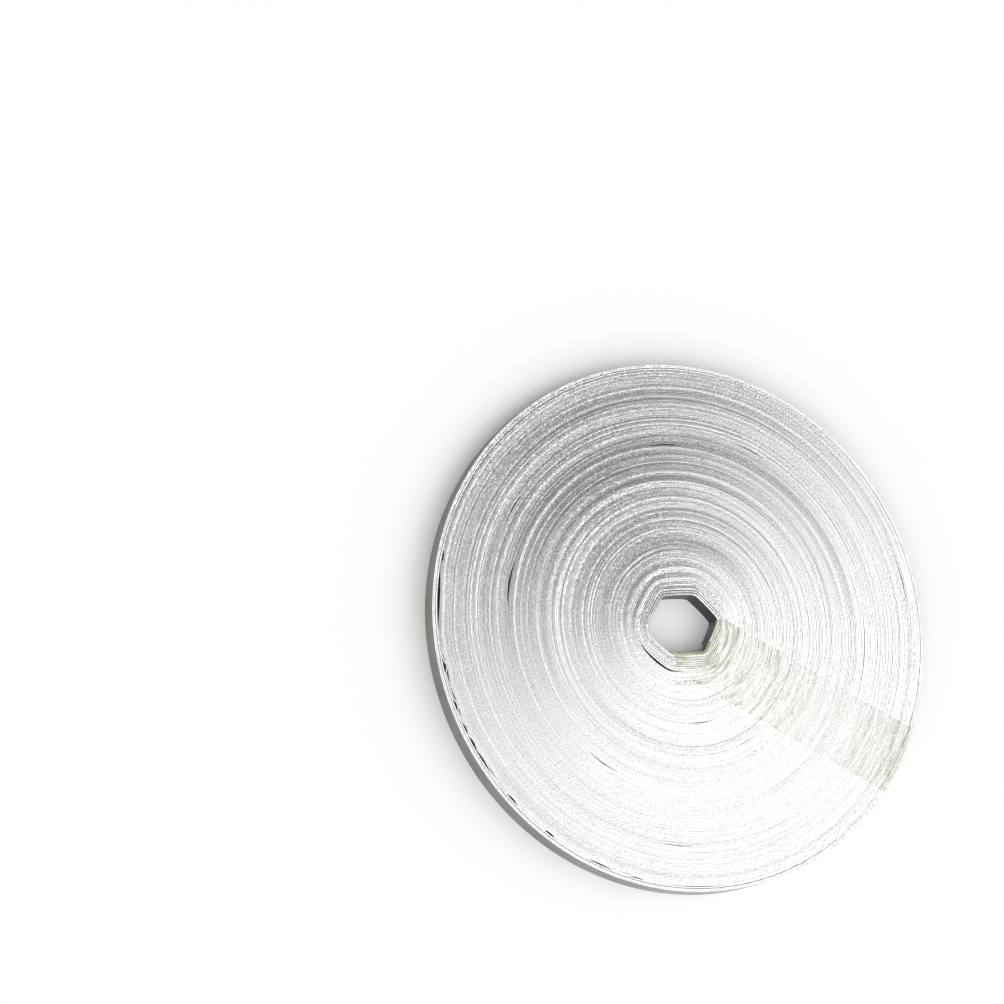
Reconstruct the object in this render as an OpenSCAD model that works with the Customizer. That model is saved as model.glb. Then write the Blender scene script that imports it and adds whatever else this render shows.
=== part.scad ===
// Magnesium ribbon, wound into a flat coil that a band of clear tape holds together.
// The coil lies on its end: its axis is Z, the floor is z = 0, and the tape runs out along +X.

/* [Ribbon] */
// Width of the ribbon, which stands upright in the coil
ribbon_w = 3.2; // [2.5:0.1:6]
// Thickness of the ribbon
ribbon_t = 0.21; // [0.18:0.01:0.35]
// Air left between one turn and the next
turn_air = 0.035; // [0.02:0.005:0.06]
// Most that the ribbon's width differs from turn to turn
width_spread = 0.03; // [0.01:0.005:0.06]

/* [Coil] */
// Diameter across the outermost turn
coil_d = 82; // [60:1:110]
// Turns that slid along the axis together, as a group
turns_per_group = 4; // [2:1:8]
// Most that a group of turns slid out of the coil
slip = 0.24; // [0.12:0.02:0.5]

/* [Hole] */
// How far the hole's flat sides stand from the axis, on average
hole_flat_r = 4.75; // [4.2:0.05:5.4]
// How far the bends between the flat sides stand from the axis
hole_bend_r = 5.9; // [5.6:0.05:7]
// Radius that the flat sides bulge to
side_bulge_r = 35; // [20:1:80]
// Turns that it takes for the hole's shape to grow round
shaped_turns = 16; // [12:1:24]
// Turn, counted from the hole, that has a loose gap inside it
loose_turn = 9; // [4:1:11]
// Width of the loose turn's gap
loose_gap = 0.45; // [0.3:0.05:0.8]

/* [Tape] */
// Width of the tape
tape_w = 11.3; // [8:0.1:14]
// Thickness of the tape
tape_t = 0.06; // [0.04:0.01:0.1]
// How far the tape's middle line runs beside the coil's axis
tape_offset = -1.4; // [-2.5:0.1:2.5]
// Width that the tape takes up in the hole, where it curls along two of the flat sides
neck_w = 8.4; // [7:0.1:9]
// How far the neck's middle line runs beside the coil's axis
neck_offset = -0.65; // [-1:0.05:-0.3]
// Distance from the hole over which the tape fans out to its full width
fan_length = 4.6; // [3.5:0.1:6]
// Length over which the tape's end is stuck on its own start
tape_overlap = 9; // [5:0.5:16]

/* [Hidden] */
$fn = 96;

coil_r = coil_d / 2;
pitch = ribbon_t + turn_air;
top_z = ribbon_w + slip + width_spread;
cut = 1;  // how far a cutter runs past the face that it opens

// The hole's six flat sides: the way each faces, and how far it stands off hole_flat_r
hole_sides = [[0, 0.15], [76, 0.1], [122, -0.2], [178, 0.2], [262, 0.1], [302, -0.35]];

// The gap lies on the side of the hole that faces this way, and its ends taper to nothing
loose_way = 255;
loose_half_span = 35;

// Round turns are counted from the outermost one inwards, and shaped ones from the hole outwards
round_turns = floor((coil_r - hole_bend_r) / pitch) - shaped_turns;
round_r = coil_r - round_turns * pitch;
last_group = floor((round_turns - 1) / turns_per_group);

function group_wave(g) = 0.5 + 1.1 * sin(137 * g + 250) * cos(51 * g);
function group_lift(g) = slip * max(0, min(1, group_wave(g)));
function group_r(g) = coil_r - g * turns_per_group * pitch;
function turn_r(i) = coil_r - i * pitch;
function turn_top(i) =
    ribbon_w + group_lift(floor(i / turns_per_group)) + width_spread * (0.5 + 0.5 * sin(97 * i));

// The shaped turns climb towards the hole, each a little higher than the one around it
function shaped_lift(k) = slip * (1 - k / shaped_turns);
function shaped_top(k) = ribbon_w + width_spread + shaped_lift(k);

// Section of the round turns and of a solid core, which the shaped turns then replace.
// Above, every turn is a step of its own, and below, a group rests or stands clear as one.
module coil_section() {
    core = shaped_turns - 1;
    upper = [for (i = [0:round_turns - 1], r = [turn_r(i), turn_r(i + 1)]) [r, turn_top(i)]];
    lower = [for (g = [last_group:-1:1])
        if (group_lift(g) != group_lift(g - 1))
            each [[group_r(g), group_lift(g)], [group_r(g), group_lift(g - 1)]]];
    polygon(concat(
        upper,
        [[round_r, shaped_top(core)], [0, shaped_top(core)]],
        [[0, shaped_lift(core)], [round_r, shaped_lift(core)], [round_r, group_lift(last_group)]],
        lower,
        [[coil_r, group_lift(0)]]
    ));
}

// Inner outline of shaped turn k, drawn inwards by inset: flat sides that bulge a little, cut off
// by the circle of the bends. Turn by turn the sides catch up with the bends, until all is round.
module turn_outline(k, inset = 0) {
    grown = k / shaped_turns;
    intersection() {
        circle(r = hole_bend_r + grown * (round_r - hole_bend_r) - inset);
        intersection_for (side = hole_sides)
            flat_side(side[0], hole_flat_r + side[1], grown, inset);
    }
}
module flat_side(way, flat_r, grown, inset) {
    middle = (side_bulge_r - flat_r) * (1 - grown);
    rotate(way) translate([-middle, 0])
        circle(r = middle + flat_r + grown * (round_r - flat_r) - inset);
}

module shaped_turns_above() {
    for (k = [0:shaped_turns - 2])
        translate([0, 0, ribbon_w / 2])
            linear_extrude(height = shaped_top(k) - ribbon_w / 2) turn_outline(k + 1);
}
module shaped_turns_below() {
    for (k = [0:shaped_turns - 2])
        translate([0, 0, -cut]) linear_extrude(height = cut + shaped_lift(k)) turn_outline(k + 1);
}

// Where one turn has sprung away from its neighbour: its outline less the next one, pushed out
module loose_slit() {
    inset = loose_gap * cos(loose_half_span) / (1 - cos(loose_half_span));
    push = loose_gap + inset;
    difference() {
        translate(push * [cos(loose_way), sin(loose_way)]) turn_outline(loose_turn, inset);
        turn_outline(loose_turn);
    }
}

// The tape runs flat across the coil's ends. Underneath, the turns give way by its thickness.
// Its upper side leaves the hole at the bend where its first flat side ends.
bend_x = hole_flat_r - 0.15;
module tape_lane() {
    polygon([
        [0, neck_offset - neck_w / 2],
        [fan_length, tape_offset - tape_w / 2],
        [coil_d, tape_offset - tape_w / 2],
        [coil_d, tape_offset + tape_w / 2],
        [bend_x + fan_length / 4, tape_offset + tape_w / 2],
        [bend_x, neck_offset + neck_w / 2],
        [0, neck_offset + neck_w / 2]
    ]);
}
module tape_strip() {
    difference() {
        intersection() {
            circle(r = coil_r + tape_t);
            tape_lane();
        }
        turn_outline(0, tape_t);
    }
}
module tape_neck() {
    intersection() {
        difference() {
            turn_outline(0);
            turn_outline(0, tape_t);
        }
        translate([0, neck_offset - neck_w / 2]) square([hole_bend_r, neck_w]);
    }
}

module ribbon_coil() {
    color([0.74, 0.74, 0.72])
        difference() {
            union() {
                rotate_extrude() coil_section();
                shaped_turns_above();
            }
            shaped_turns_below();
            translate([0, 0, -cut]) linear_extrude(height = top_z + 2 * cut) {
                turn_outline(0);
                loose_slit();
            }
            translate([0, 0, -cut]) linear_extrude(height = cut + tape_t) tape_lane();
        }
}

module tape_band() {
    color([0.93, 0.91, 0.80, 0.7]) {
        linear_extrude(height = tape_t) tape_strip();
        translate([0, 0, top_z]) linear_extrude(height = tape_t) tape_strip();
        linear_extrude(height = top_z + tape_t) {
            tape_neck();
            difference() {
                tape_strip();
                circle(r = coil_r);
            }
        }
        translate([0, 0, top_z]) linear_extrude(height = 2 * tape_t)
            intersection() {
                tape_strip();
                translate([coil_r - tape_overlap, -coil_r]) square([coil_r, coil_d]);
            }
    }
}

ribbon_coil();
tape_band();
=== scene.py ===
import math

import bpy
import numpy as np
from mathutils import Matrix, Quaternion, Vector


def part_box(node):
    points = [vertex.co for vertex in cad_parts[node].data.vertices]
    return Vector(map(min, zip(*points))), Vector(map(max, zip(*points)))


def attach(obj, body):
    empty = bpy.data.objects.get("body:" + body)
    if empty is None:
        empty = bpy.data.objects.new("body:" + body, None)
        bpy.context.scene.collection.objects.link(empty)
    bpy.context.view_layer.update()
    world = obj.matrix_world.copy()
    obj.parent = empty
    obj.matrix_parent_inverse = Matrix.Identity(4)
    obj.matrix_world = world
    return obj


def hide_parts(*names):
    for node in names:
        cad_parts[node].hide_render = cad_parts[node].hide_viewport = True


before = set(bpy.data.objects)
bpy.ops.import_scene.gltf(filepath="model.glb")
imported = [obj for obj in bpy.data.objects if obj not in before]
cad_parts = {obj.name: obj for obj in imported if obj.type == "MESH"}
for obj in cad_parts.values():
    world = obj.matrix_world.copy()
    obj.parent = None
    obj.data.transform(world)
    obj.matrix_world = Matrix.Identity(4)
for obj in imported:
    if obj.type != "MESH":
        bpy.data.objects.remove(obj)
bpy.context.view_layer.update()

mm = 0.001

# The ribbon. One strip of magnesium, some 21 m long, wound flat on itself with its width upright.
# The first turns keep the bends of the small former that they were started on, and each turn
# further out is rounder. Handling has slid groups of turns along the axis and sprung a few apart.
coil_low, coil_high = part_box("ribbon_coil")
coil_r = (coil_high.x - coil_low.x) / 2 / mm
# In mm: the first turns have slid by up to slip, and the other groups by up to group_slip
slip, group_slip = 0.24, 0.03
# How far the middle of a slit edge stands up, how far rubbing presses it in again, and the room
# that the leaning edges need above and below
edge_crown, rubbed_dip, lean_room = 0.01, 0.025, 0.025
ribbon_w = (coil_high.z - coil_low.z) / mm - slip - 2 * lean_room
ribbon_t, pitch = 0.228, 0.245
# The hole's six flat sides: the way that each faces, and how far it stands off hole_flat_r
hole_bend_r, hole_flat_r, side_bulge_r = 5.9, 4.75, 35.0
hole_sides = ((0, 0.15), (76, 0.1), (122, -0.2), (178, 0.2), (262, 0.1), (302, -0.35))
shaped_turns, turns_per_group = 16, 4
all_turns = math.floor((coil_r - hole_bend_r) / pitch)
round_r = coil_r - (all_turns - shaped_turns) * pitch
tight = 0.12  # what the springing apart of the turns needs inside the coil's own size
end_way = math.radians(-2)  # both ends of the strip face this way, the outer one under the tape


def turn_lift(turn):
    """How far a whole turn, counted from the hole, has slid up the axis, in mm."""
    group = (all_turns - 1 - turn) // turns_per_group
    wave = 0.5 + 1.1 * np.sin(np.radians(137 * group + 250)) * np.cos(np.radians(51 * group))
    shaped = 1 - turn / shaped_turns
    return np.where(turn < shaped_turns, slip * shaped, group_slip * np.clip(wave, 0, 1))


def between_turns(of_turn, turn):
    """A value that each turn holds, passed on to the next turn over its last tenth."""
    whole = np.floor(turn).astype(int)
    part = np.clip((turn - whole - 0.9) / 0.1, 0, 1)
    part = part * part * (3 - 2 * part)
    return of_turn[whole] * (1 - part) + of_turn[whole + 1] * part


def outline_r(way, grown):
    """Distance from the axis to a turn's outline, which is grown from the hole's shape to round."""
    radius = hole_bend_r + grown * (round_r - hole_bend_r)
    soft = 0.4  # how much the corners between the bends and the flat sides are rounded
    for side_way, off in hole_sides:
        flat = hole_flat_r + off
        middle = (side_bulge_r - flat) * (1 - grown)
        reach = middle + flat + grown * (round_r - flat)
        turned = way - math.radians(side_way)
        side = np.sqrt(reach**2 - (middle * np.sin(turned)) ** 2) - middle * np.cos(turned)
        overlap = np.maximum(soft - abs(radius - side), 0) / soft
        radius = np.minimum(radius, side) - overlap**2 * soft / 4
    return radius


def grown_at(turn):
    """How far a turn has grown round. The first turns lie a little further apart than the others."""
    early, early_turns = 0.06, 1.5
    growth = (1 - early) * turn / shaped_turns + early * (1 - np.exp(-turn / early_turns))
    return np.clip(growth, 0, 1)


# Where turns have sprung apart. Each row has the turns in from the rim, the way that the gap faces
# and half its span in degrees, its width in mm, and the count of turns that give way: those
# outside the gap, or with a minus those inside it.
loose_places = (
    (2, 194.5, 1.4, 0.34, -16),
    (2, 203.5, 6.5, 0.4, -16),
    (2, 218.6, 1.4, 0.4, -16),
    (2, 227.3, 1.2, 0.34, -16),
    (2, 232.6, 1.4, 0.3, -16),
    (2, 236.2, 1.4, 0.42, -16),
    (2, 240.4, 3, 0.3, -16),
    (2, 251, 1.3, 0.42, -16),
    (2, 262, 1.4, 0.44, -16),
    (2, 275, 3.2, 0.22, -16),
    (2, 284, 2, 0.16, -16),
    (2, 298, 8, 0.1, -16),
    (8, 40, 5, 0.14, 6),
    (27, 293, 4, 0.12, 10),
    (34, 175, 4, 0.2, 10),
    (40, 93, 5, 0.14, 12),
    (40, 21, 16, 0.08, 12),
    (48, 197, 7, 0.3, 14),
    (50, 121, 6, 0.16, 12),
    (60, 264, 6, 0.16, 12),
    (104, 306, 8, 0.12, 10),
    (135, 260, 34, 0.32, 22),
)


def loose_push(turn, way):
    """How far the loose places push a turn outwards, in mm."""
    push = np.zeros_like(way)
    whole = np.floor(turn)
    for turns_in, place_way, half_span, gap, giving in loose_places:
        apart = (way - math.radians(place_way) + math.pi) % (2 * math.pi) - math.pi
        window = np.clip(1 - (apart / math.radians(half_span)) ** 2, 0, 1)
        outside = whole - (all_turns - 1 - turns_in)
        if giving > 0:
            push += gap * window * np.clip(1 - outside / giving, 0, 1) * (outside >= 0)
        else:
            push -= gap * window * np.clip(1 - (outside + 1) / giving, 0, 1) * (outside < 0)
    return push


# What each turn has of its own. Two more than all the turns are drawn, for between_turns.
chance = np.random.default_rng(5)
drawn = all_turns + 2
every_turn = np.arange(drawn)
lift_of_turn = turn_lift(every_turn)
# The air between one turn and the next differs, but the coil's size stays
mean_air, evenness = pitch - ribbon_t, 2.5
air = np.clip(chance.gamma(evenness, 1, drawn), 0.8, 4) * mean_air / evenness
air[-6:] = 0.8 * mean_air
spring_of_turn = np.cumsum(air - air[:all_turns].mean())
drift = spring_of_turn[all_turns - 1] - spring_of_turn[0]
spring_of_turn -= spring_of_turn[0] + drift * every_turn / all_turns
# Handling rubs some turns bright, and the last ones at the rim most of all
rubbed_share, brightest = 0.38, 0.95
rubbed = chance.uniform(size=drawn) < rubbed_share
burnish_of_turn = 0.1 + rubbed * chance.uniform(0.3, brightest, drawn)
burnish_of_turn = np.clip(burnish_of_turn + 0.12 * chance.normal(size=drawn), 0, brightest)
burnish_of_turn[-5:] = 1
# How far the outer side of an edge lies back from its middle, in mm
mean_lean, lean_spread = 0.020, 0.009
lean_of_turn = mean_lean + lean_spread * chance.normal(size=drawn)
phase_of_turn = chance.uniform(0, 2 * math.pi, drawn)
# The share of the gap outside it that a turn's bent edge fills, on the flat sides of the hole
fill_of_turn = chance.uniform(0.72, 1, drawn)

# The strip's middle line. The turns by the rim, which have the shortest gaps, have more stations.
stations_per_turn, rim_turns, rim_stations = 96, 4, 384
inner_turns = all_turns - rim_turns
turn = np.concatenate((
    np.linspace(0, inner_turns, inner_turns * stations_per_turn, endpoint=False),
    np.linspace(inner_turns, all_turns, rim_turns * rim_stations + 1)))
station = np.arange(len(turn))
way = end_way + turn * 2 * math.pi
grown = grown_at(turn)
# On the flat sides the first turns lie further apart, and their edges are wider to fill the gaps
most_widened = 0.12
widened = outline_r(way, grown_at(turn + 1)) - outline_r(way, grown)
widened = np.clip(widened * between_turns(fill_of_turn, turn) - ribbon_t, 0, most_widened)
radius = outline_r(way, grown) + np.maximum(turn - shaped_turns, 0) * pitch
radius += between_turns(spring_of_turn, turn) + loose_push(turn, way) + ribbon_t / 2 - tight
# The last two turns have a little more air under them
outer_air = 0.07
radius += outer_air * np.clip(turn - all_turns + 2.1, 0, 0.1) / 0.1
along = np.concatenate(([0], np.cumsum(np.hypot(np.diff(radius), radius[1:] * np.diff(way)))))
# The strip weaves up and down a little, and above the lower side of the tape it rests on that
lift = between_turns(lift_of_turn, turn)
lift += 0.012 * np.sin(along / 9.1) + 0.008 * np.sin(along / 3.7 + 1)
tape_low, tape_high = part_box("tape_band")
tape_w, tape_middle = (tape_high.y - tape_low.y) / mm, (tape_high.y + tape_low.y) / 2 / mm
film_t, held_off, eases_over = 0.05, 1.6, 1.5
beside_tape = abs(radius * np.sin(way) - tape_middle) - tape_w / 2
over_tape = np.clip(1 - beside_tape / eases_over, 0, 1)
over_tape *= radius * np.cos(way) > hole_flat_r - 0.5
lift = np.clip(np.maximum(lift, held_off * film_t * over_tape), 0, slip)
# A turn is rubbed more on two opposite sides, and where it is rubbed its edges lean less
phase = phase_of_turn[np.floor(turn).astype(int)]
fade = 0.5 + 0.5 * np.sin(2 * way + phase)
burnish = between_turns(burnish_of_turn, turn)
burnish = np.clip(burnish * (0.5 + 0.7 * fade) * (burnish < 1) + (burnish >= 1), 0, 1)
lean = between_turns(lean_of_turn, turn) * (1 + 0.25 * np.sin(3 * way + 2 * phase)) * (1 - burnish)
lean = np.clip(lean, 0, edge_crown + lean_room)
path = np.stack(
    (radius * np.cos(way), radius * np.sin(way), lift + ribbon_w / 2 + lean_room), axis=1)

path_mesh = bpy.data.meshes.new("ribbon_path")
path_mesh.vertices.add(len(path))
path_mesh.vertices.foreach_set("co", (path * mm).ravel())
path_mesh.edges.add(len(path) - 1)
path_mesh.edges.foreach_set("vertices", np.stack((station[:-1], station[1:]), axis=1).ravel())
for name, values in (("along", along), ("lean", lean * mm), ("burnish", burnish)):
    path_mesh.attributes.new(name, "FLOAT", "POINT").data.foreach_set("value", values)
outwards = np.stack((np.cos(way), np.sin(way), 0 * way), axis=1) * (widened * mm)[:, None]
path_mesh.attributes.new("widened", "FLOAT_VECTOR", "POINT").data.foreach_set(
    "vector", outwards.ravel())
ribbon = bpy.data.objects.new("ribbon", path_mesh)
bpy.context.scene.collection.objects.link(ribbon)


def add(tree, kind, inputs=None, **settings):
    """Adds a node to a tree. inputs maps a socket's name or number to a value or an output."""
    node = tree.nodes.new(kind)
    for name, value in settings.items():
        setattr(node, name, value)
    for name, value in (inputs or {}).items():
        if isinstance(value, bpy.types.NodeSocket):
            tree.links.new(value, node.inputs[name])
        else:
            node.inputs[name].default_value = value
    return node


def linear(colour):
    """An sRGB hex colour as linear RGBA."""
    parts = [int(colour[i:i + 2], 16) / 255 for i in (1, 3, 5)]
    return [p / 12.92 if p <= 0.04045 else ((p + 0.055) / 1.055) ** 2.4 for p in parts] + [1]


# Magnesium, rolled and then dulled by the air to a soft grey on its flat sides, and darkened on
# the first turns, around the hole, with painted shade where the hole lies in shadow. The slit edges
# are bright grey with a grain of nicks, drawn about 0.3 mm long so that they show, and shine white
# where handling has rubbed them.
nicks_per_mm, nick_depth = 3.4, 0.078
stains_per_mm = 0.09
# Painted shade in the hole: the flat sides are fully darkened up to the first length and not at all
# from the second
hole_shade_full_to, hole_shade_gone_from = 60.0, 110.0  # in mm along the strip
metal = bpy.data.materials.new("rolled_magnesium")
metal.use_nodes = True
tree = metal.node_tree
shader = tree.nodes["Principled BSDF"]
shader.inputs["Metallic"].default_value = 1.0
along_strip = add(tree, "ShaderNodeAttribute", attribute_name="along").outputs["Fac"]
burnished = add(tree, "ShaderNodeAttribute", attribute_name="burnish").outputs["Fac"]
corner = add(tree, "ShaderNodeAttribute", attribute_name="corner").outputs["Vector"]
corner = add(tree, "ShaderNodeSeparateXYZ", {0: corner}).outputs
place = add(tree, "ShaderNodeTexCoord")
height = add(tree, "ShaderNodeSeparateXYZ", {0: place.outputs["Object"]})
height_mm = add(tree, "ShaderNodeMath", {0: height.outputs["Z"], 1: 1 / mm}, operation="MULTIPLY")
across_mm = add(tree, "ShaderNodeMath", {0: corner["X"], 1: ribbon_t / 2}, operation="MULTIPLY")
strip_place = add(tree, "ShaderNodeCombineXYZ", {
    "X": along_strip, "Y": height_mm.outputs[0], "Z": across_mm.outputs[0]})
nicks = add(tree, "ShaderNodeTexNoise", {
    "Vector": strip_place.outputs[0], "Scale": nicks_per_mm, "Detail": 2.0, "Roughness": 0.6})
stain = add(tree, "ShaderNodeTexNoise", {
    "Vector": strip_place.outputs[0], "Scale": stains_per_mm, "Detail": 3.0})
# Painted shade: the flat sides of the first turns, in the hole, are darkened towards #454641
painted_hole_shade = add(tree, "ShaderNodeMapRange", {
    "Value": along_strip, "From Min": hole_shade_full_to, "From Max": hole_shade_gone_from,
    "To Min": 1.0, "To Max": 0.0})
edge = add(tree, "ShaderNodeMapRange", {
    "Value": corner["Y"], "From Min": 0.0, "From Max": 0.12, "To Min": 0.0, "To Max": 1.0})
tone = add(tree, "ShaderNodeMapRange", {
    "Value": stain.outputs[0], "From Min": 0.35, "From Max": 0.65, "To Min": 0.0, "To Max": 1.0})
flat_colour = add(tree, "ShaderNodeMix", {
    "Factor": tone.outputs[0], "A": linear("#898a85"), "B": linear("#9a9b95")}, data_type="RGBA")
flat_colour = add(tree, "ShaderNodeMix", {
    "Factor": painted_hole_shade.outputs[0], "A": flat_colour.outputs["Result"], "B": linear("#454641")},
    data_type="RGBA")
grain = add(tree, "ShaderNodeMapRange", {
    "Value": nicks.outputs[0], "From Min": 0.3, "From Max": 0.7, "To Min": 0.0, "To Max": 1.0})
edge_colour = add(tree, "ShaderNodeMix", {
    "Factor": grain.outputs[0], "A": linear("#c9cac6"), "B": linear("#fdfdfc")}, data_type="RGBA")
bright_colour = add(tree, "ShaderNodeMix", {
    "Factor": burnished, "A": edge_colour.outputs["Result"], "B": linear("#f8f8f6")},
    data_type="RGBA")
colour = add(tree, "ShaderNodeMix", {
    "Factor": edge.outputs[0], "A": flat_colour.outputs["Result"],
    "B": bright_colour.outputs["Result"]}, data_type="RGBA")
tree.links.new(colour.outputs["Result"], shader.inputs["Base Color"])
roughness = add(tree, "ShaderNodeMapRange", {
    "Value": burnished, "From Min": 0.0, "From Max": 1.0, "To Min": 0.42, "To Max": 0.3})
tree.links.new(roughness.outputs[0], shader.inputs["Roughness"])
bump = add(tree, "ShaderNodeBump", {
    "Strength": 1.0, "Distance": nick_depth * mm, "Height": nicks.outputs[0]})
tree.links.new(bump.outputs[0], shader.inputs["Normal"])

winding = bpy.data.node_groups.new("wound_ribbon", "GeometryNodeTree")
for name, kind, side in (
    ("Path", "NodeSocketGeometry", "INPUT"), ("Ribbon width", "NodeSocketFloat", "INPUT"),
    ("Ribbon thickness", "NodeSocketFloat", "INPUT"), ("Edge crown", "NodeSocketFloat", "INPUT"),
    ("Rubbed dip", "NodeSocketFloat", "INPUT"), ("Ribbon", "NodeSocketGeometry", "OUTPUT"),
):
    winding.interface.new_socket(name, in_out=side, socket_type=kind)
start = add(winding, "NodeGroupInput").outputs
strip = add(winding, "GeometryNodeMeshToCurve", {"Mesh": start["Path"]})
strip = add(winding, "GeometryNodeSetCurveNormal", {"Curve": strip.outputs[0]}, mode="Z_UP")
# The ribbon's section has six corners: two on each flat side, and the crown of each edge. Each
# corner keeps which flat side it is on (X is 1 on the inner, -1 on the outer), whether it is a
# crown (Y is 1), and which edge it is on (Z is 1 on the lower, -1 on the upper).
ring = add(winding, "GeometryNodeCurvePrimitiveCircle", {"Resolution": 6, "Radius": 1.0})
ring = add(winding, "GeometryNodeTransform", {
    "Geometry": ring.outputs["Curve"], "Rotation": (0, 0, math.radians(30))})
spot = add(winding, "ShaderNodeSeparateXYZ", {
    0: add(winding, "GeometryNodeInputPosition").outputs[0]}).outputs
flat_side = add(winding, "ShaderNodeMath", {0: spot["X"], 1: -math.sqrt(0.75)}, operation="DIVIDE")
edge_side = add(winding, "ShaderNodeMath", {0: spot["Y"]}, operation="SIGN")
is_crown = add(winding, "ShaderNodeMath", {0: spot["Y"]}, operation="ABSOLUTE")
is_crown = add(winding, "ShaderNodeMath", {
    0: is_crown.outputs[0], 1: 2.0, 2: -1.0}, operation="MULTIPLY_ADD")
corner = add(winding, "ShaderNodeCombineXYZ", {
    "X": flat_side.outputs[0], "Y": is_crown.outputs[0], "Z": edge_side.outputs[0]})
section = add(winding, "GeometryNodeStoreNamedAttribute", {
    "Geometry": ring.outputs[0], "Name": "corner", "Value": corner.outputs[0]},
    data_type="FLOAT_VECTOR")
half_t = add(winding, "ShaderNodeMath", {
    0: start["Ribbon thickness"], 1: -0.5}, operation="MULTIPLY")
half_w = add(winding, "ShaderNodeMath", {0: start["Ribbon width"], 1: 0.5}, operation="MULTIPLY")
shoulder = add(winding, "ShaderNodeMath", {
    0: half_w.outputs[0], 1: start["Edge crown"]}, operation="SUBTRACT")
reach = add(winding, "ShaderNodeMath", {
    0: is_crown.outputs[0], 1: start["Edge crown"], 2: shoulder.outputs[0]},
    operation="MULTIPLY_ADD")
size = add(winding, "ShaderNodeCombineXYZ", {"X": half_t.outputs[0], "Y": reach.outputs[0]})
spot = add(winding, "ShaderNodeCombineXYZ", {"X": flat_side.outputs[0], "Y": edge_side.outputs[0]})
spot = add(winding, "ShaderNodeVectorMath", {
    0: spot.outputs[0], 1: size.outputs[0]}, operation="MULTIPLY")
section = add(winding, "GeometryNodeSetPosition", {
    "Geometry": section.outputs[0], "Position": spot.outputs[0]})
swept = add(winding, "GeometryNodeCurveToMesh", {
    "Curve": strip.outputs[0], "Profile Curve": section.outputs[0], "Fill Caps": True})
# Every edge leans out a little, by its own amount, and where it is rubbed its middle dips
corner = add(
    winding, "GeometryNodeInputNamedAttribute", {"Name": "corner"}, data_type="FLOAT_VECTOR")
corner = add(winding, "ShaderNodeSeparateXYZ", {0: corner.outputs[0]}).outputs
burnished = add(winding, "GeometryNodeInputNamedAttribute", {"Name": "burnish"})
leaning = add(winding, "GeometryNodeInputNamedAttribute", {"Name": "lean"})
dip = add(winding, "ShaderNodeMath", {
    0: burnished.outputs[0], 1: start["Rubbed dip"]}, operation="MULTIPLY")
dip = add(winding, "ShaderNodeMath", {0: dip.outputs[0], 1: corner["Y"]}, operation="MULTIPLY")
stands_out = add(winding, "ShaderNodeMath", {
    0: leaning.outputs[0], 1: corner["X"]}, operation="MULTIPLY")
shift = add(winding, "ShaderNodeMath", {
    0: dip.outputs[0], 1: stands_out.outputs[0]}, operation="SUBTRACT")
shift = add(winding, "ShaderNodeMath", {0: shift.outputs[0], 1: corner["Z"]}, operation="MULTIPLY")
shift = add(winding, "ShaderNodeCombineXYZ", {"Z": shift.outputs[0]})
# The ribbon is widened on its outer side only: outer is 1 there, half on a crown, and 0 inside
outer = add(winding, "ShaderNodeMath", {
    0: corner["X"], 1: -0.5, 2: 0.5}, operation="MULTIPLY_ADD")
widening = add(
    winding, "GeometryNodeInputNamedAttribute", {"Name": "widened"}, data_type="FLOAT_VECTOR")
shift = add(winding, "ShaderNodeVectorMath", {
    0: widening.outputs[0], 1: outer.outputs[0], 2: shift.outputs[0]}, operation="MULTIPLY_ADD")
shaped = add(winding, "GeometryNodeSetPosition", {
    "Geometry": swept.outputs[0], "Offset": shift.outputs[0]})
done = add(winding, "GeometryNodeRealizeInstances", {0: shaped.outputs[0]})
done = add(winding, "GeometryNodeSetMaterial", {"Geometry": done.outputs[0], "Material": metal})
add(winding, "NodeGroupOutput", {0: done.outputs[0]})

wind = ribbon.modifiers.new("wound", "NODES")
wind.node_group = winding
for name, value in (
    ("Ribbon width", ribbon_w), ("Ribbon thickness", ribbon_t), ("Edge crown", edge_crown),
    ("Rubbed dip", rubbed_dip),
):
    wind[winding.interface.items_tree[name].identifier] = value * mm
evaluated = ribbon.evaluated_get(bpy.context.evaluated_depsgraph_get())
wound = bpy.data.meshes.new_from_object(evaluated)
ribbon.modifiers.clear()
ribbon.data = wound
wound.shade_smooth()
wound.set_sharp_from_angle(angle=math.radians(50))
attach(ribbon, "root")
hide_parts("ribbon_coil")

# The tape. A band of clear adhesive film that holds the coil together. It goes out from the hole
# over the turns, round the rim, back underneath and up through the hole, where it curls along two
# of the flat sides, and its end is stuck down on its own start. It has yellowed a little.
overlap = 9.0
rim_r = radius[-1] + ribbon_t / 2 + film_t
rim_bend = 0.3
under_z = 0.03  # the height of the film's middle underneath the coil
across_film = np.linspace(-1, 1, 41)
full_y = tape_middle + across_film * tape_w / 2
rim_x = np.sqrt(rim_r**2 - full_y**2)
# In the hole it curls along two of the flat sides, up to the bend at 38 degrees
wall_way = np.radians(np.linspace(-100, 38, 300))
wall_r = outline_r(wall_way, 0) - tight - film_t
wall_x, wall_y = wall_r * np.cos(wall_way), wall_r * np.sin(wall_way)
wall_run = np.concatenate(([0], np.cumsum(np.hypot(np.diff(wall_x), np.diff(wall_y)))))
neck_run = wall_run[-1] - (1 - across_film) / 2 * tape_w
neck_x, neck_y = np.interp(neck_run, wall_run, wall_x), np.interp(neck_run, wall_run, wall_y)
# Beside the hole it fans out to its full width, sooner on the side of that bend
fan = 1.2
flat_x = neck_x + fan + fan * (1 - across_film)

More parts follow.
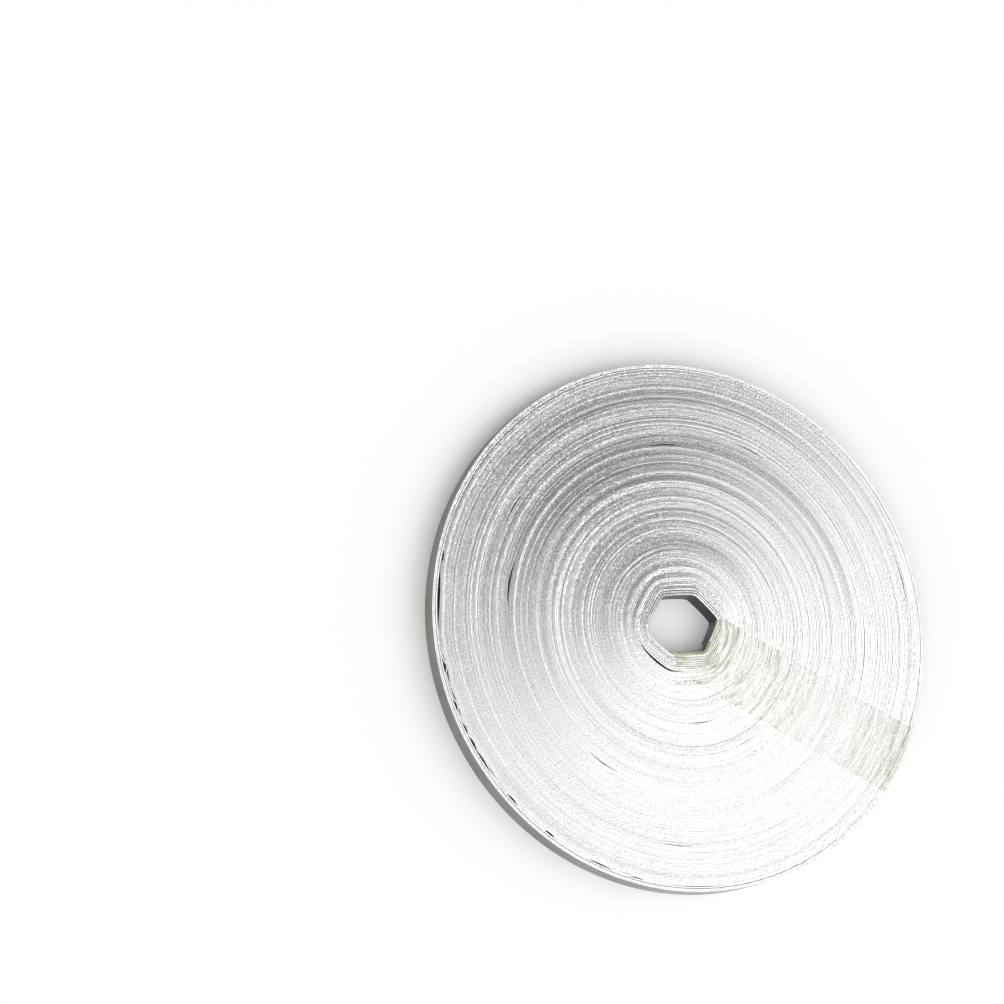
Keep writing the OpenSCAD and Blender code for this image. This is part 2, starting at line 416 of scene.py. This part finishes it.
# The height that the film rests at, by distance from the axis: over the groups that stand proud,
# and a hair higher over rubbed turns
step = 0.1
reach_r = np.arange(0, coil_r + 1, step)
turn_there = (reach_r - round_r + tight) / pitch + shaped_turns
turn_there = np.clip(turn_there, 0, all_turns - 1).astype(int)
tops = lift_of_turn[turn_there] + ribbon_w + lean_room * (1 + burnish_of_turn[turn_there])
tops = np.max([np.roll(tops, shift) for shift in range(-5, 6)], axis=0)
taper = np.hanning(13)
rest_z = np.convolve(np.pad(tops, 6, mode="edge"), taper / taper.sum(), mode="valid") + 0.01


def film_z(x, y):
    """Height of the film's middle over the coil, with its small wrinkles."""
    r = np.hypot(x, y)
    wrinkle = 0.012 * np.sin(2.1 * x + 0.8 * y) * np.sin(1.3 * y + 0.4 * x) + 0.012
    return np.interp(r, reach_r, rest_z) + wrinkle + film_t / 2


def steps(count):
    """Steps from 0 to 1, without the first."""
    return np.arange(1, count + 1) / count


rows = []
# Its start, stuck on the turns near the rim
start_line = rim_x - overlap - 0.5 * np.sin(across_film * 2.2) + 0.15 * np.sin(across_film * 9)
for f in np.concatenate(([0], steps(40))):
    x = start_line + f * (rim_x - rim_bend - start_line)
    rows.append((x, full_y, film_z(x, full_y)))
rim_row = len(rows)
# Round the rim and down it
wall_top = rows[-1][2]
for f in steps(6):
    a = f * math.pi / 2
    x = rim_x - rim_bend * (1 - math.sin(a))
    rows.append((x, full_y, wall_top - rim_bend * (1 - math.cos(a))))
for f in steps(4):
    rows.append((rim_x, full_y, wall_top - rim_bend + f * (2 * rim_bend + under_z - wall_top)))
for f in steps(6):
    a = f * math.pi / 2
    x = rim_x - rim_bend * (1 - math.cos(a))
    rows.append((x, full_y, 0 * full_y + under_z + rim_bend * (1 - math.sin(a))))
# Underneath, and up through the hole
for f in steps(30):
    x = rim_x - rim_bend + f * (flat_x - rim_x + rim_bend)
    rows.append((x, full_y, 0 * full_y + under_z))
for f in steps(10):
    g = f * f * (3 - 2 * f)
    x, y = flat_x + f * (neck_x - flat_x), full_y + g * (neck_y - full_y)
    rows.append((x, y, 0 * full_y + under_z + 0.1 * f**3))
neck_low, neck_high = rows[-1][2], film_z(neck_x, neck_y) - 0.2
for f in steps(10):
    rows.append((neck_x, neck_y, neck_low + f * (neck_high - neck_low)))
bend_row = len(rows)
# Out over the turns again in a fan with a few creases, and down on its own start
crease_h = 0.035
for f in steps(16):
    g = f * f * (3 - 2 * f)
    x, y = neck_x + f * (flat_x - neck_x), neck_y + g * (full_y - neck_y)
    bend = math.sin(min(f / 0.25, 1) * math.pi / 2)
    folds = 1 + np.sin(across_film * 14 + 2 * np.sin(across_film * 5))
    crease = crease_h * math.sin(f * math.pi) * folds
    rows.append((x, y, neck_high + bend * (film_z(x, y) - neck_high) + crease))
short_of_rim = 0.12
for f in steps(150):
    x = flat_x + f * (rim_x - short_of_rim - flat_x)
    doubled = np.clip((x - start_line + 0.3) / 0.6, 0, 1)
    rows.append((x, full_y, film_z(x, full_y) + 1.2 * film_t * doubled))
film = np.array([np.stack(row, axis=1) for row in rows])
lengths, widths = film.shape[:2]
number = np.arange(lengths * widths).reshape(lengths, widths)
quads = np.stack(
    (number[:-1, :-1], number[1:, :-1], number[1:, 1:], number[:-1, 1:]), axis=-1).reshape(-1, 4)
film_mesh = bpy.data.meshes.new("tape")
film_mesh.from_pydata((film.reshape(-1, 3) * mm).tolist(), [], quads.tolist())
# What the material reads: the length run from the start, the distance from the axis and the length
# round it, all in mm, and how sharply the film is bent, at the rim and where it leaves the hole
row_gaps = np.linalg.norm(np.diff(film, axis=0), axis=2)
ran = np.concatenate((np.zeros((1, widths)), np.cumsum(row_gaps, axis=0)))
from_axis = np.hypot(film[:, :, 0], film[:, :, 1])
film_way = np.arctan2(film[:, :, 1], film[:, :, 0])
bent = np.zeros_like(ran)
bent[bend_row - 1:bend_row + 4] = 1
bent[rim_row - 4:rim_row + 1] = 0.3
for name, values in (
    ("ran", ran), ("from_axis", from_axis), ("round", from_axis * film_way), ("bent", bent),
):
    film_mesh.attributes.new(name, "FLOAT", "POINT").data.foreach_set("value", values.ravel())
tape = bpy.data.objects.new("tape", film_mesh)
bpy.context.scene.collection.objects.link(tape)
thick = tape.modifiers.new("thickness", "SOLIDIFY")
thick.thickness, thick.offset = film_t * mm, 0
film_mesh.shade_smooth()

# Clear polypropylene film with an acrylic adhesive that has yellowed: clear where it clings to the
# turns, beige and hazy in arcs where it bridges them, most near the hole, olive and mottled where
# it is stuck down by the rim, and whitish where it is bent. The arcs are some 0.6 mm wide.
arcs_per_mm, arc_stretch = 1.7, 0.12
haze_full_r, haze_thin_r, haze_thin = 13.0, 27.0, 0.2
clear_opacity, haze_opacity, stuck_opacity, bent_opacity = 0.06, 0.32, 0.25, 0.35
film_plastic = bpy.data.materials.new("clear_adhesive_film")
film_plastic.use_nodes = True
tree = film_plastic.node_tree
shader = tree.nodes["Principled BSDF"]
shader.inputs["Roughness"].default_value = 0.3
ran_film = add(tree, "ShaderNodeAttribute", attribute_name="ran").outputs["Fac"]
from_axis = add(tree, "ShaderNodeAttribute", attribute_name="from_axis").outputs["Fac"]
round_axis = add(tree, "ShaderNodeAttribute", attribute_name="round").outputs["Fac"]
bent = add(tree, "ShaderNodeAttribute", attribute_name="bent").outputs["Fac"]
round_axis = add(tree, "ShaderNodeMath", {0: round_axis, 1: arc_stretch}, operation="MULTIPLY")
arc_place = add(tree, "ShaderNodeCombineXYZ", {"X": from_axis, "Y": round_axis.outputs[0]})
arcs = add(tree, "ShaderNodeTexNoise", {
    "Vector": arc_place.outputs[0], "Scale": arcs_per_mm, "Detail": 2.0, "Roughness": 0.6},
    noise_dimensions="2D")
mottle = add(tree, "ShaderNodeMapRange", {
    "Value": arcs.outputs[0], "From Min": 0.46, "From Max": 0.68, "To Min": 0.0, "To Max": 1.0})
further_out = add(tree, "ShaderNodeMapRange", {
    "Value": from_axis, "From Min": haze_full_r, "From Max": haze_thin_r,
    "To Min": 1.0, "To Max": haze_thin})
haze = add(tree, "ShaderNodeMath", {
    0: mottle.outputs[0], 1: further_out.outputs[0]}, operation="MULTIPLY")
beside_rim = add(tree, "ShaderNodeMapRange", {
    "Value": from_axis, "From Min": 36.5, "From Max": 39.0, "To Min": 0.0, "To Max": 1.0})
stuck = add(tree, "ShaderNodeMath", {0: ran_film, 1: overlap}, operation="LESS_THAN")
stuck = add(tree, "ShaderNodeMath", {
    0: stuck.outputs[0], 1: beside_rim.outputs[0]}, operation="MULTIPLY")
film_colour = add(tree, "ShaderNodeMix", {
    "Factor": haze.outputs[0], "A": linear("#f8f7ea"), "B": linear("#c4c3a6")}, data_type="RGBA")
film_colour = add(tree, "ShaderNodeMix", {
    "Factor": stuck.outputs[0], "A": film_colour.outputs["Result"], "B": linear("#d0d3b2")},
    data_type="RGBA")
film_colour = add(tree, "ShaderNodeMix", {
    "Factor": bent, "A": film_colour.outputs["Result"], "B": linear("#f0edcf")}, data_type="RGBA")
tree.links.new(film_colour.outputs["Result"], shader.inputs["Base Color"])
opacity = add(tree, "ShaderNodeMapRange", {
    "Value": haze.outputs[0], "To Min": clear_opacity, "To Max": haze_opacity})
# The start, which lies under the end, shows its mottling but hardly any haze
past_start = add(tree, "ShaderNodeMapRange", {
    "Value": ran_film, "From Min": overlap, "From Max": overlap + 0.1, "To Min": 0.15, "To Max": 1.0})
opacity = add(tree, "ShaderNodeMath", {
    0: opacity.outputs[0], 1: past_start.outputs[0]}, operation="MULTIPLY")
stuck = add(tree, "ShaderNodeMath", {
    0: stuck.outputs[0], 1: mottle.outputs[0]}, operation="MULTIPLY")
opacity = add(tree, "ShaderNodeMath", {
    0: stuck.outputs[0], 1: stuck_opacity, 2: opacity.outputs[0]}, operation="MULTIPLY_ADD")
opacity = add(tree, "ShaderNodeMath", {
    0: bent, 1: bent_opacity, 2: opacity.outputs[0]}, operation="MULTIPLY_ADD")
tree.links.new(opacity.outputs[0], shader.inputs["Alpha"])
film_mesh.materials.append(film_plastic)
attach(tape, "root")
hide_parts("tape_band")

# The floor. A wide sheet of matt white paper that the coil lies on, which reaches past the edges
# of every view.
floor_r = 6
floor_mesh = bpy.data.meshes.new("floor")
floor_mesh.from_pydata(
    [(-floor_r, -floor_r, 0), (floor_r, -floor_r, 0), (floor_r, floor_r, 0), (-floor_r, floor_r, 0)],
    [], [(0, 1, 2, 3)])
floor = bpy.data.objects.new("floor", floor_mesh)
bpy.context.scene.collection.objects.link(floor)
# Uncoated paper, without gloss. What the camera, the metal and the film see of it is a little
# paler than the light on it makes it, so that it is white.
paper_white, paler = 0.95, 0.08
paper = bpy.data.materials.new("white_paper")
paper.use_nodes = True
tree = paper.node_tree
shader = tree.nodes["Principled BSDF"]
shader.inputs["Base Color"].default_value = (paper_white, paper_white, paper_white, 1)
shader.inputs["Roughness"].default_value = 1.0
ray = add(tree, "ShaderNodeLightPath").outputs
seen_white = add(tree, "ShaderNodeMath", {
    0: ray["Is Camera Ray"], 1: ray["Is Glossy Ray"]}, operation="ADD")
seen_white = add(tree, "ShaderNodeMath", {
    0: seen_white.outputs[0], 1: ray["Is Transmission Ray"]}, operation="ADD")
seen_white = add(tree, "ShaderNodeMath", {0: seen_white.outputs[0], 1: paler}, operation="MULTIPLY")
shader.inputs["Emission Color"].default_value = (1, 1, 1, 1)
tree.links.new(seen_white.outputs[0], shader.inputs["Emission Strength"])
floor_mesh.materials.append(paper)


def toward(azimuth, elevation):
    """A direction from its azimuth and elevation in degrees."""
    azimuth, elevation = math.radians(azimuth), math.radians(elevation)
    return Vector((
        math.cos(azimuth) * math.cos(elevation), math.sin(azimuth) * math.cos(elevation),
        math.sin(elevation)))


# The camera. The photograph looks down on the coil from the side, rolled so that the tape runs to
# the lower right. The coil lies right of the middle and below it.
look = toward(57.8, -65.2)
distance, roll = 0.7, 60.1
aim = Vector((0, 0, coil_high.z)) + Vector((-0.03405, 0.0023, 0))
camera_data = bpy.data.cameras.new("camera")
camera_data.lens, camera_data.sensor_width = 166.4, 36
camera = bpy.data.objects.new("camera", camera_data)
bpy.context.scene.collection.objects.link(camera)
camera.location = aim - distance * look
camera.rotation_mode = "QUATERNION"
camera.rotation_quaternion = (
    look.to_track_quat("-Z", "Y") @ Quaternion((0, 0, 1), math.radians(roll)))
bpy.context.scene.camera = camera

# The light. A white studio, pale all round and dimmer low down, but dark on one side, and with one
# brighter window. Each edge of the dark side and of the window is soft, between two angles.
wall_light, dark_light, window_light, dimmer = 1.56, 0.2, 1.3, 0.35
dark_side, dark_inner, dark_outer = toward(135, 9.5), math.radians(74.5), math.radians(82.5)
window_side, window_inner, window_outer = toward(44, 30.5), math.radians(12.5), math.radians(28.5)
world = bpy.data.worlds.new("studio")
bpy.context.scene.world = world
world.use_nodes = True
tree = world.node_tree
seen = add(tree, "ShaderNodeTexCoord").outputs["Generated"]
to_dark = add(tree, "ShaderNodeVectorMath", {0: seen, 1: dark_side}, operation="DOT_PRODUCT")
walls = add(tree, "ShaderNodeMapRange", {
    "Value": to_dark.outputs["Value"], "From Min": math.cos(dark_outer),
    "From Max": math.cos(dark_inner), "To Min": wall_light, "To Max": dark_light},
    interpolation_type="SMOOTHSTEP")
to_window = add(tree, "ShaderNodeVectorMath", {0: seen, 1: window_side}, operation="DOT_PRODUCT")
window = add(tree, "ShaderNodeMapRange", {
    "Value": to_window.outputs["Value"], "From Min": math.cos(window_outer),
    "From Max": math.cos(window_inner), "To Min": 0.0, "To Max": window_light},
    interpolation_type="SMOOTHSTEP")
rise = add(tree, "ShaderNodeSeparateXYZ", {0: seen})
low_down = add(tree, "ShaderNodeMapRange", {
    "Value": rise.outputs["Z"], "From Min": 0.05, "From Max": 0.55, "To Min": dimmer, "To Max": 1.0},
    interpolation_type="SMOOTHSTEP")
walls = add(tree, "ShaderNodeMath", {
    0: walls.outputs[0], 1: low_down.outputs[0]}, operation="MULTIPLY")
glow = add(tree, "ShaderNodeMath", {0: walls.outputs[0], 1: window.outputs[0]}, operation="ADD")
tree.links.new(glow.outputs[0], tree.nodes["Background"].inputs["Color"])

bpy.context.scene.view_settings.view_transform = "Standard"
